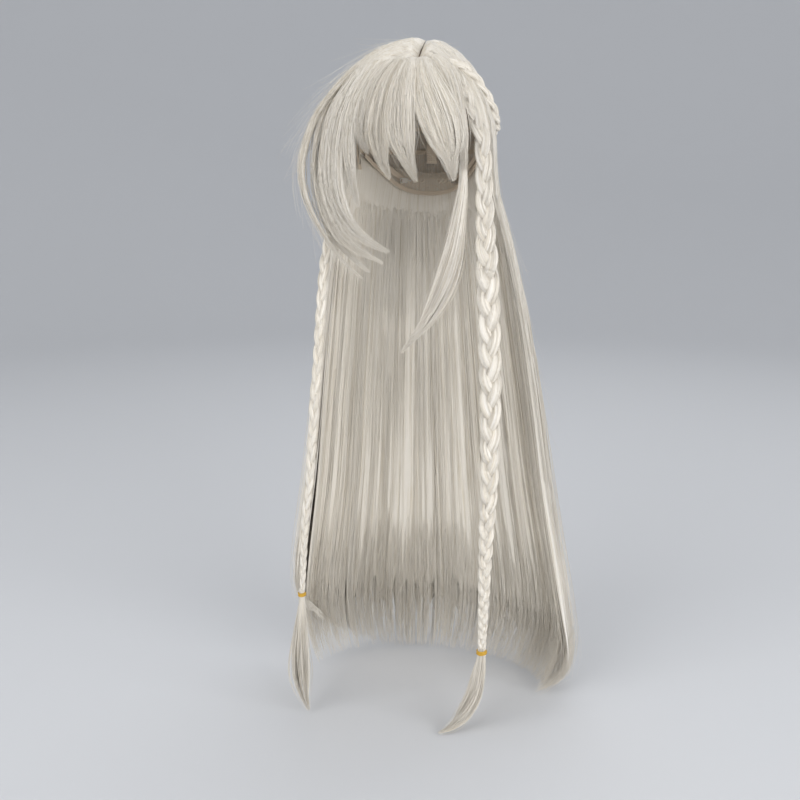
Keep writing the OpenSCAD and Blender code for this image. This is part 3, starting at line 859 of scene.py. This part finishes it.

# %% [markdown]
# ## Braids
# Each hanging braid is made in two lengths that meet part way down.
# %% The two hanging braids
BRAID_LEFT = [
    [60, -68, 72, 7], [68, -69, 54, 12], [74, -67, 37, 15], [79, -63, 22, 17], [85, -60, 4, 19],
    [88, -58, -40, 20], [90, -55, -90, 22],
    [93, -55, -135, 26], [98, -58, -225, 27], [101, -63, -300, 26], [103, -74, -393, 22],
    [102, -82, -450, 19], [101, -87, -520, 15], [100, -90, -610, 10]]
BRAID_RIGHT = [
    [-100, -26, -84, 9], [-105, -31, -110, 11], [-108, -42, -141, 12], [-108, -57, -182, 12],
    [-110, -73, -262, 12], [-112, -79.5, -300, 12], [-118, -87, -400, 11], [-124, -91, -455, 10],
    [-130, -92, -554, 7]]


def joined(objects, name):
    """Several objects with one material made into one."""
    with bpy.context.temp_override(active_object=objects[0], selected_editable_objects=objects):
        bpy.ops.object.join()
    objects[0].name = name
    return objects[0]


BRAID_OVERLAP = 0.02


def braid_part(name, rows, pitch, first, last, seed, count, loose, normal=None):
    """The three strands of one length of braid, as one solid object and one of fibres."""
    solids = []
    fibres = []
    spare = BRAID_OVERLAP if last < 1.0 or first > 0.0 else 0.0
    for turn in range(3):
        flow = braid_flow(rows, turn, pitch, first, last, normal, loose)
        longer = braid_flow(rows, turn, pitch, max(first - spare, 0.0), min(last + spare, 1.0),
                            normal, loose)
        solids.append(hair_body(name, flow, hair_solid, seed + turn, around=18,
                                along=int(flow.turns * 26) + 4, lines=4, ridge=0.1, end=1.0,
                                blunt=True))
        fibres.append(hair_fibres(name, longer, hair_loose, seed + 5 + turn,
                                  int(count * FIBRE_SHARE), points=int(flow.turns * 12) + 4,
                                  clumps=7, gather=0.0, wander=0.05, half=0.3,
                                  ragged=2.0 * spare if last < 1.0 else 0.0,
                                  stagger=2.0 * spare if first > 0.0 else 0.0,
                                  waves=flow.turns, stray=0.0, inside=0.5, even=True))
    solid = joined(solids, name + "_body")
    loose_hair = joined(fibres, name + "_fibres")
    print(name, "turns", round(flow.turns, 1), "length", round(flow.length), "mm,",
          len(loose_hair.data.polygons), "fibre faces")
    return solid, loose_hair


BRAIDS = [
    ("braid_left_1", BRAID_LEFT, 3.4, 0.0, 0.32, "cap", "braid_left_a", 0.5, 80,
     (0.088, -0.057, -0.020), (0.088, -0.057, -0.070), ("braid_left_top", "braid_left_upper")),
    ("braid_left_2", BRAID_LEFT, 3.4, 0.32, 1.0, "braid_left_a", "braid_left_b", 0.5, 80,
     (0.101, -0.063, -0.260), (0.101, -0.063, -0.345), ("braid_left_lower",)),
    ("braid_right_1", BRAID_RIGHT, 5.6, 0.0, 0.28, "cap", "braid_right_a", 0.0, 50,
     (-0.107, -0.040, -0.120), (-0.108, -0.045, -0.160), ("braid_right_top", "braid_right_upper")),
    ("braid_right_2", BRAID_RIGHT, 5.6, 0.28, 1.0, "braid_right_a", "braid_right_b", 0.0, 50,
     (-0.112, -0.0795, -0.270), (-0.112, -0.0795, -0.330), ("braid_right_lower",))]
for number, row in enumerate(BRAIDS):
    name, rows, pitch, first, last, above, below, loose, count, start, end, nodes = row
    for piece in braid_part(name, rows, pitch, first, last, 600 + number * 20, count, loose):
        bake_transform(piece)
        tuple(start)
        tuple(end)
        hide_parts(*nodes)

# %% [markdown]
# A third braid lies on the crown and runs round to the back like a hair band.
# %% The crown braid
CROWN_BRAID = [
    [44, -54, 90, 8], [58, -43, 85, 14], [70, -29, 75, 16], [81, -20, 60, 16], [89, -9, 45, 16],
    [92, 6, 32, 16], [90, 32, 23, 16], [79, 63, 17, 16], [56, 93, 13, 15], [26, 110, 9, 13],
    [0, 108, 2, 8]]


def head_normal(points):
    """The way out from the head at each point."""
    return unit(points / np.array([HALF_W, HALF_L, CROWN_H]) ** 2)


for piece in braid_part("crown_braid", CROWN_BRAID, 4.2, 0.0, 1.0, 700, 50, 0.0, head_normal):
    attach(piece, "cap")
    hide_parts("crown_braid")

# %% [markdown]
# ## Hair ties and tails
# Below each braid a small elastic is wound three times round the hair, and the loose end of the
# braid spreads out under it.
# %% Tails
TAILS = {
    "tail_left": ([
        [100, -90, -604, 9, 8, 10, 0], [100, -90, -616, 9, 8, 10, 0],
        [97, -91, -640, 15, 11, 10, 0], [91, -95, -670, 18, 13, 10, 20],
        [79, -103, -694, 17, 11, 5, 45], [65, -113, -706, 11, 7, 0, 70],
        [52, -122, -709, 4, 3, 0, 80]], "braid_left_b"),
    "tail_right": ([
        [-130, -92, -548, 6, 6, 0, 0], [-130, -92, -560, 6, 6, 0, 0],
        [-132, -94, -600, 15, 11, 0, 0], [-133, -96, -650, 23, 15, 0, 0],
        [-129, -99, -688, 17, 10, 0, 10], [-121, -103, -710, 5, 3, 0, 15]], "braid_right_b"),
}
for number, (name, (rows, body)) in enumerate(TAILS.items()):
    parts = dress(name, lock_flow(rows), 740 + number * 10, 480,
                  dict(around=40, along=50, lines=8, end=0.7, ridge=0.2, pinch=0.6),
                  dict(points=11, clumps=12, gather=0.4, wander=0.05, ragged=0.3, half=0.3,
                       stray=0.08, wild=0.01, inside=0.5, late=0.3, point=0.4))
    for piece in parts:
        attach(piece, body)
        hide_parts(name)

# %% [markdown]
# The elastic is one cord in a flat coil. Its two ends shrink towards the hair, as if tucked in.
# %% Wound elastic
tie_rubber = plain_material("orange elastic", (0.56, 0.33, 0.035), 0.6)
TIE_TURNS, TIE_STEPS = 3, 40


def wound_tie(name, middle, radius, cord):
    """A cord wound in a flat coil round a point, as a closed tube with fine ends tucked in."""
    steps = np.linspace(0.0, 1.0, TIE_TURNS * TIE_STEPS)
    angle = steps * TIE_TURNS * 2.0 * math.pi
    reach = radius + 0.25 * np.sin(angle * 0.5)
    reach = reach - 1.2 * (ease(1.0 - steps * 14.0) + ease((steps - 0.93) * 14.0))
    up = (steps - 0.5) * TIE_TURNS * cord * 0.82 + 0.2 * np.sin(angle + 0.6)
    path = np.column_stack([middle[0] + reach * np.cos(angle), middle[1] + reach * np.sin(angle),
                            middle[2] + up])
    shape = bmesh.new()
    bmesh.ops.create_grid(shape, x_segments=12, y_segments=len(path) - 1, size=1.0)
    along = unit(np.gradient(path, axis=0))
    side = unit(np.cross(along, np.array([0.0, 0.0, 1.0])))
    top = np.cross(side, along)
    flat = np.array([v.co[:2] for v in shape.verts])
    turn = (flat[:, 0] + 1.0) * math.pi
    row = np.rint((flat[:, 1] + 1.0) / 2.0 * (len(path) - 1)).astype(int)
    spots = (path[row] + cord / 2 * (side[row] * np.cos(turn)[:, None]
                                     + top[row] * np.sin(turn)[:, None])) * MM
    for vert, spot in zip(shape.verts, spots):
        vert.co = spot
    return finished(shape, name, tie_rubber)


for name, middle, radius, cord, body in (
        ("hair_tie_left", (100, -90, -610.5), 5.6, 2.0, "braid_left_b"),
        ("hair_tie_right", (-130, -92, -554), 4.3, 1.8, "braid_right_b")):
    tie = wound_tie(name + "_wound", middle, radius, cord)
    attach(tie, body)
    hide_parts(name)

# %% [markdown]
# ## Flyaway hairs
# A few single fibres always leave the mass. They start along with it and then drift off in a curve.
# %% Single fibres that leave the hair
def flyaways(name, flow, seed, count, reach=14.0, span=(0.1, 0.3), begin=(0.05, 0.7), points=12):
    """Thin fibres that follow a flow for a while and then bend away from it."""
    rng = np.random.default_rng(seed)
    u = rng.uniform(-1.0, 1.0, (count, 1))
    v0 = rng.uniform(*begin, (count, 1))
    t = np.linspace(0.0, 1.0, points)[None, :]
    v = np.clip(v0 + rng.uniform(*span, (count, 1)) * t, 0.0, 1.0)
    base = flow(u, 1.0, v)
    out = unit(flow(u, 1.6, v) - flow(u, 0.4, v))
    drift = unit(out[:, :1] + 0.8 * rng.normal(0.0, 1.0, (count, 1, 3)))
    far = reach * rng.uniform(0.1, 1.0, (count, 1, 1)) ** 1.5
    curl = rng.normal(0.0, 0.35, (count, 1, 3))
    t = t[..., None]
    paths = base + far * (drift * t ** 1.6 + out * 0.35 * t + curl * t ** 3)
    paths[..., 2] = np.maximum(paths[..., 2], FLOOR_Z + 0.5)
    sizes = np.linspace(0.13, 0.07, points)[None, :] * rng.uniform(0.8, 1.2, (count, 1))
    loose = fibre_mesh(name, paths, sizes, rng.uniform(0.3, 0.9, count), hair_loose)
    return loose


for name, flow, seed, count, reach in (
        ("flyaways_front_right", front_right, 801, 60, 16.0),
        ("flyaways_front_left", front_left, 802, 45, 14.0),
        ("flyaways_side_right", lock_flow(LOCKS["side_lock_right_4"], (1.9, 1.3)), 803, 70, 24.0),
        ("flyaways_outer", lock_flow(LOCKS["outer_strand_right"]), 804, 60, 22.0),
        ("flyaways_bangs", lock_flow(LOCKS["bang_centre"], (1.9, 1.5)), 805, 25, 8.0)):
    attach(flyaways(name, flow, seed, int(count * FIBRE_SHARE) + 1, reach), "cap")
for number, (name, low, high, body) in enumerate(FALLS):
    loose = flyaways(name.replace("fall", "flyaways_fall"), fall_flow(low, high), 810 + number,
                     int(60 * FIBRE_SHARE), 12.0, (0.08, 0.25), (0.1, 0.9), 9)
    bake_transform(loose)
print("flyaway hairs added")

# %% [markdown]
# ## The cap
# Turned over, the wig shows its cap: a stretch net, elastic bands and tapes sewn along it, rows of
# machine-sewn hair outside the net, and a pair of adjusters at the nape. Bands are flows too, so the
# same tool that makes the body of a lock can make them.
# %% Cap materials
def woven_material(name, colour, across, along):
    """Elastic webbing: fine ribs both ways, from the piece's own map."""
    material = plain_material(name, colour, 0.75)
    link = material.node_tree.links.new
    coords = add_node(material, "ShaderNodeUVMap", uv_map="UVMap")
    total = add_node(material, "ShaderNodeMath", operation="ADD")
    for number, scale in enumerate(((across, 0.0, 0.0), (0.0, along, 0.0))):
        stretch = add_node(material, "ShaderNodeMapping", Scale=scale)
        rib = add_node(material, "ShaderNodeTexWave", Scale=1.0, Distortion=0.4)
        rib.bands_direction = "DIAGONAL"
        link(coords.outputs["UV"], stretch.inputs["Vector"])
        link(stretch.outputs["Vector"], rib.inputs["Vector"])
        link(rib.outputs["Fac"], total.inputs[number])
    add_bump(material, total.outputs["Value"], 0.6, 0.0003)
    return material


net_thread = plain_material("net thread", (0.78, 0.66, 0.52), 0.7)
elastic = woven_material("elastic webbing", (0.74, 0.63, 0.50), 400.0, 320.0)
weft_band = woven_material("sewn hair edge", (0.72, 0.62, 0.47), 500.0, 500.0)
thread = plain_material("sewing thread", (0.80, 0.72, 0.60), 0.6)
skin_net = woven_material("parting cloth", (0.80, 0.56, 0.44), 900.0, 900.0)
steel = plain_material("coated steel", (0.55, 0.53, 0.50), 0.32, 1.0)
cord_cloth = plain_material("loop cord", (0.78, 0.70, 0.58), 0.7)

# %% [markdown]
# A net is a grid laid on the head and cut along the rim. One operator turns its edges into threads.
# %% The net
NET_CELL = 3.6
NET_RIM = ([0, 30, 55, 72, 88, 104, 120, 150, 180], [41, 38, 26, 8, -6, -6, -14, -27, -30])
FLAT_REACH = 1.75


def cap_net():
    """A square net that is laid over the head from its top and cut along the rim."""
    shape = bmesh.new()
    cells = int(2.0 * FLAT_REACH * 90.0 / NET_CELL)
    bmesh.ops.create_grid(shape, x_segments=cells, y_segments=cells, size=FLAT_REACH)
    flat = np.array([v.co[:2] for v in shape.verts])
    spread = np.hypot(flat[:, 0], flat[:, 1])
    fall_off = 2.0 * np.degrees(np.arcsin(np.clip(spread / 2.0, 0.0, 1.0)))
    around = np.degrees(np.arctan2(flat[:, 0], -flat[:, 1]))
    up = 90.0 - fall_off
    rim = np.interp(np.abs(around), *NET_RIM)
    place = on_head(around, up, 0.4) * MM
    outside = up < rim + 0.3
    for vert, spot in zip(shape.verts, place):
        vert.co = spot
    spare = [vert for vert, gone in zip(shape.verts, outside) if gone]
    bmesh.ops.delete(shape, geom=spare, context="VERTS")
    bmesh.ops.wireframe(shape, faces=shape.faces, thickness=0.00045, use_replace=True,
                        use_boundary=True, use_even_offset=True)
    bmesh.ops.recalc_face_normals(shape, faces=shape.faces)
    mesh = bpy.data.meshes.new("cap_net")
    shape.to_mesh(mesh)
    shape.free()
    return new_mesh_object("cap_net", mesh, net_thread)


net = cap_net()
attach(net, "cap")
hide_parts("cap_net_left", "cap_net_right", "cap_net_back")
print("net faces:", len(net.data.polygons))


# %% [markdown]
# Every tape is a flow that lies on the head between two depths. Its edges bow towards the head,
# because a flat tape has to follow a round one. The stitches are fibres that zigzag along it.
# %% Bands, tapes and rows of sewn hair
RIBBON_STEPS, HEAD_ROUND = 90, 90.0


def ribbon_flow(stops, width, inner, outer):
    """The flow of a ribbon that lies on the head along [around, up] stops."""
    path = smooth_path(np.column_stack([np.array(stops, float), np.zeros(len(stops))]), RIBBON_STEPS)[0]
    low = on_head(path[:, 0], path[:, 1], inner)
    high = on_head(path[:, 0], path[:, 1], outer)
    along = unit(np.gradient(high, axis=0))
    out = unit(on_head(path[:, 0], path[:, 1], 40.0) - on_head(path[:, 0], path[:, 1], 0.0))
    across = unit(np.cross(out, along)) * width / 2
    middle = (low + high) / 2
    half = unit(high - low) * (outer - inner) / 2
    droop = out * width * width / (8.0 * HEAD_ROUND)
    length = float(np.linalg.norm(np.diff(high, axis=0), axis=1).sum())
    return path_flow(middle, across, half, length, 2.1 * width, droop=droop)


def sewn_ribbon(name, stops, width, inner, outer, material, rows=(-0.8, 0.8), side=-1.0, pitch=3.0):
    """A ribbon and the zigzag stitches along it, on its inner face or its outer one."""
    flow = ribbon_flow(stops, width, inner, outer)
    band = hair_body(name + "_band", flow, material, 1, around=24, along=60, power=8.0, ridge=0.0,
                     end=1.0, blunt=True)
    count = int(flow.length / pitch) * 2
    v = np.linspace(0.02, 0.98, count)
    zig = np.where(np.arange(count) % 2 == 0, -1.0, 1.0)
    paths = [flow(row + zig * 0.9 / width, side * 1.25, v) for row in rows]
    stitches = fibre_mesh(name + "_stitches", np.array(paths), 0.16, np.ones(len(rows)), thread)
    return band, stitches


def mirrored(stops):
    """The same stops on the other side of the head."""
    return [[-around, up] for around, up in stops]


LINING_IN, LINING_OUT, OVER_NET = -2.1, -1.1, 1.5
FRONT_STOPS = [[-76, 13], [-50, 35], [-25, 45], [0, 47], [25, 45], [50, 35], [76, 13]]
NAPE_STOPS = [[104, -5], [122, -13], [150, -26], [180, -29.5], [210, -26], [238, -13], [256, -5]]
TAB_STOPS = [[88, 14], [88, 0], [88, -14]]
RIBBONS = [
    ("front_band", FRONT_STOPS, 12, elastic, "elastic"),
    ("nape_band", NAPE_STOPS, 6, elastic, "elastic"),
    ("centre_tape", [[180, -10], [180, 15], [180, 45], [180, 75]], 14, elastic, "elastic"),
    ("ear_tab_left", TAB_STOPS, 18, elastic, "elastic"),
    ("ear_tab_right", mirrored(TAB_STOPS), 18, elastic, "elastic")]
for name, stops, width, material, finish in RIBBONS:
    for piece in sewn_ribbon(name, stops, width, LINING_IN, LINING_OUT, material):
        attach(piece, "cap")
        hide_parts(name)
for number, up in enumerate((-3, 12, 28, 44)):
    name = "weft_row_" + str(number + 1)
    stops = [[around, up] for around in range(100, 261, 16)]
    for piece in sewn_ribbon(name, stops, 5, OVER_NET, OVER_NET + 1.0, weft_band, (-0.55, 0.0, 0.55)):
        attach(piece, "cap")
        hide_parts(name)
for piece in sewn_ribbon("parting_patch", [[6, 46], [7, 60], [12, 76]], 20, OVER_NET,
                         OVER_NET + 0.8, skin_net, (-0.9, 0.9), 1.0):
    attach(piece, "cap")
    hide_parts("parting_patch")
print("ribbons:", len(RIBBONS) + 5)

# %% [markdown]
# The adjuster straps are sewn down near the ears and pulled by the hooks at the nape, so each of
# them stretches between the cap and its hook. The straps are half as thick as the other tapes, which
# leaves them nearly clear of the net and the loops. The hooks, stays and loops keep
# their CAD shape.
# %% Adjusters
STRAP_STOPS = [[106, 3], [124, -7.5], [140, -15.5], [152, -20.5]]
STRAP_IN, STRAP_OUT = -1.95, -1.5
for side, stops in (("left", STRAP_STOPS), ("right", mirrored(STRAP_STOPS))):
    ends = [on_head(around, up, STRAP_OUT) * MM for around, up in (stops[0], stops[-1])]
    for piece in sewn_ribbon("strap_" + side, stops, 8, STRAP_IN, STRAP_OUT, elastic):
        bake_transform(piece)
        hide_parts("strap_" + side)
for name, material in (("hook_left", steel), ("hook_right", steel), ("ear_stay_left", steel),
                       ("ear_stay_right", steel), ("hook_loops", cord_cloth)):
    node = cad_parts[name]
    node.data.materials.clear()
    node.data.materials.append(material)
print("adjusters done")

# %% [markdown]
# ## Floor, light and finish
# A pale floor under the longest hair and three soft lights make a plain studio.
# %% Floor and lights
STAGE_FLAT, STAGE_BEND, STAGE_TOP, STAGE_STEPS = 3.0, 2.5, 3.0, 96


def studio_floor():
    """A floor that bends up into a wall all round, as paper does in a studio."""
    level = (FLOOR_Z - 1.0) * MM
    points = [(0.0, level), (STAGE_FLAT, level)]
    for step in range(1, 17):
        turn = step / 16 * math.pi / 2
        points.append((STAGE_FLAT + STAGE_BEND * math.sin(turn),
                       level + STAGE_BEND * (1.0 - math.cos(turn))))
    points.append((STAGE_FLAT + STAGE_BEND, STAGE_TOP))
    shape = bmesh.new()
    line = [shape.verts.new((x, 0.0, z)) for x, z in points]
    edges = [shape.edges.new(pair) for pair in zip(line, line[1:])]
    bmesh.ops.spin(shape, geom=line + edges, cent=(0.0, 0.0, 0.0), axis=(0.0, 0.0, 1.0),
                   angle=2.0 * math.pi, steps=STAGE_STEPS)
    paper = plain_material("floor", (0.66, 0.67, 0.69), 0.8)
    return finished(shape, "floor", paper, weld=1e-5, close=False)


studio_floor()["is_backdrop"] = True

LIGHTS = [("key", (-1.7, -2.4, 0.9), 2.6, 56.0), ("fill", (2.4, -1.6, 0.3), 2.6, 68.0),
          ("top", (0.3, 1.6, 2.0), 2.4, 18.0)]
for name, spot, size, power in LIGHTS:
    data = bpy.data.lights.new(name, "AREA")
    data.size = size
    data.energy = power
    lamp = bpy.data.objects.new(name, data)
    lamp.location = spot
    aim = np.array([0.0, 0.0, -0.25]) - np.array(spot)
    level = math.hypot(aim[0], aim[1])
    lamp.rotation_euler = (math.atan2(level, -aim[2]), 0.0, math.atan2(aim[1], aim[0]) - math.pi / 2)
    bpy.context.scene.collection.objects.link(lamp)
world = bpy.data.worlds.new("studio")
bpy.context.scene.world = world
world.use_nodes = True
world.node_tree.nodes["Background"].inputs["Color"].default_value = (0.80, 0.82, 0.85, 1.0)
world.node_tree.nodes["Background"].inputs["Strength"].default_value = 0.6
bpy.context.scene.view_settings.view_transform = "Standard"
bpy.data.objects.remove(profile)

low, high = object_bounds()
print("looks:", [round(c, 4) for c in low], [round(c, 4) for c in high])
